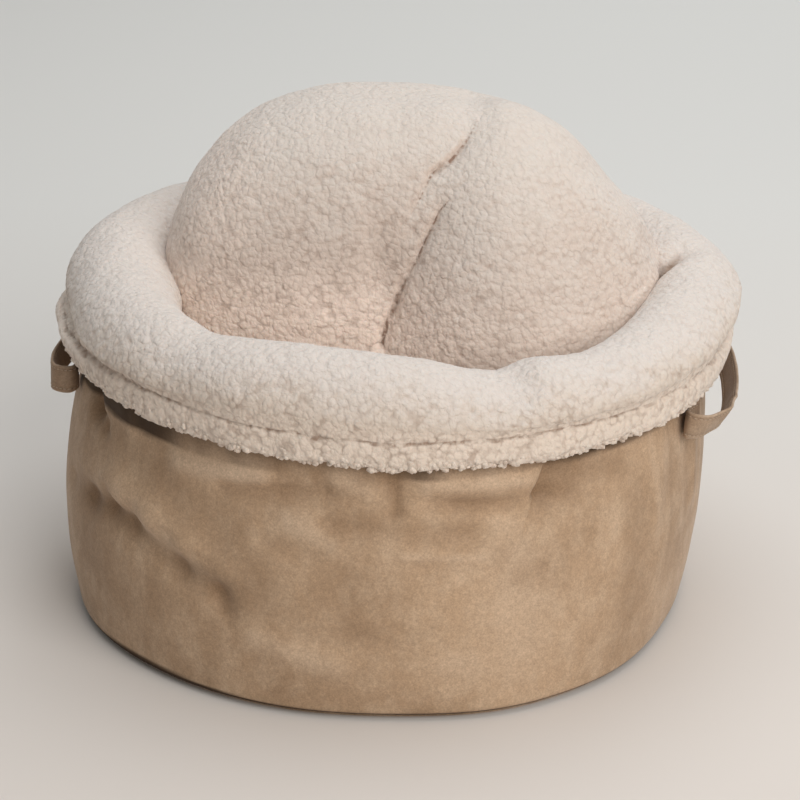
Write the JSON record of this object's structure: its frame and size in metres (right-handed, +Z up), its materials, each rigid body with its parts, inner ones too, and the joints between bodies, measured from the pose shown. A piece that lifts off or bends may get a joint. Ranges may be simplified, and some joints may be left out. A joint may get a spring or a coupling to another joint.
{
  "type": "dog bed",
  "caption": "Round basket dog bed with a stuffed suede-like wall, a turned-down fleece cuff over a padded rim, two strap handles and a stand-up fleece cushion.",
  "frame": {"origin": "centre of the base panel's underside, on the floor", "axes": "+Z up, front of the bed towards -Y, +X to the right seen from the front"},
  "size_m": [0.6363, 0.6069, 0.459],
  "materials": {
    "base_cloth": "matte",
    "suede": "soft suede nap",
    "fleece": "curly pile",
    "cushion_fleece": "curly pile",
    "strap_suede": "soft suede nap"
  },
  "bodies": {
    "root": {"base_panel": "base_cloth", "side_wall": "suede", "fleece_cuff": "fleece", "cushion": "cushion_fleece", "handle_right": "strap_suede", "handle_left": "strap_suede"}
  },
  "joints": []
}
